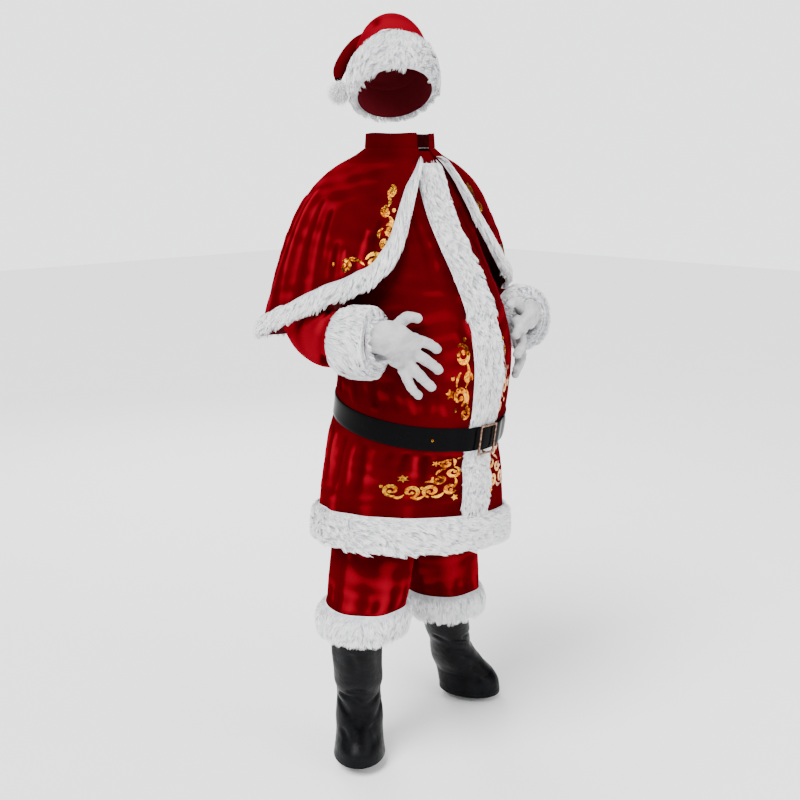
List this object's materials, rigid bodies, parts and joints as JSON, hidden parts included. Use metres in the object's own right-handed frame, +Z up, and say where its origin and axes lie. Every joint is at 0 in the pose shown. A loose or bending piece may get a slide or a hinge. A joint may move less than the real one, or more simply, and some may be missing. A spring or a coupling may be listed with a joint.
{
  "type": "santa suit",
  "caption": "Worn velvet suit with fur trim: hat with pompom, shoulder cape, belted jacket, knee breeches, gloves and boot covers, as a hollow standing form.",
  "frame": {"origin": "middle of the wearer's shoulders, which carry the jacket and cape, 1.44 m above the floor that the wearer stands on", "axes": "+Z up, the suit's front faces -Y, the wearer's right is -X"},
  "size_m": [0.7648, 0.536, 1.7863],
  "materials": {
    "red_velvet": "crushed velvet",
    "white_fur": "long pile fur",
    "black_patent": "patent gloss",
    "antique_bronze": "antique, satin",
    "black_leatherette": "matt imitation leather",
    "white_knit": "plain knit"
  },
  "bodies": {
    "root": {"jacket_front_right": "red_velvet", "jacket_front_left": "red_velvet", "jacket_back": "red_velvet", "hem_band_fur": "white_fur", "placket_fur": "white_fur", "belt_strap": "black_patent", "buckle": "antique_bronze", "collar": "red_velvet", "hat_crown": "red_velvet", "hat_brim_fur": "white_fur", "pompom_fur": "white_fur", "glove_right": "white_knit", "glove_left": "white_knit", "sleeve_right": "red_velvet", "sleeve_cuff_fur_right": "white_fur", "cape_right": "red_velvet", "cape_trim_fur_right": "white_fur", "breeches_front_right": "red_velvet", "breeches_back_right": "red_velvet", "leg_cuff_fur_right": "white_fur", "boot_cover_right": "black_leatherette", "sleeve_left": "red_velvet", "sleeve_cuff_fur_left": "white_fur", "cape_left": "red_velvet", "cape_trim_fur_left": "white_fur", "breeches_front_left": "red_velvet", "breeches_back_left": "red_velvet", "leg_cuff_fur_left": "white_fur", "boot_cover_left": "black_leatherette"}
  },
  "joints": []
}
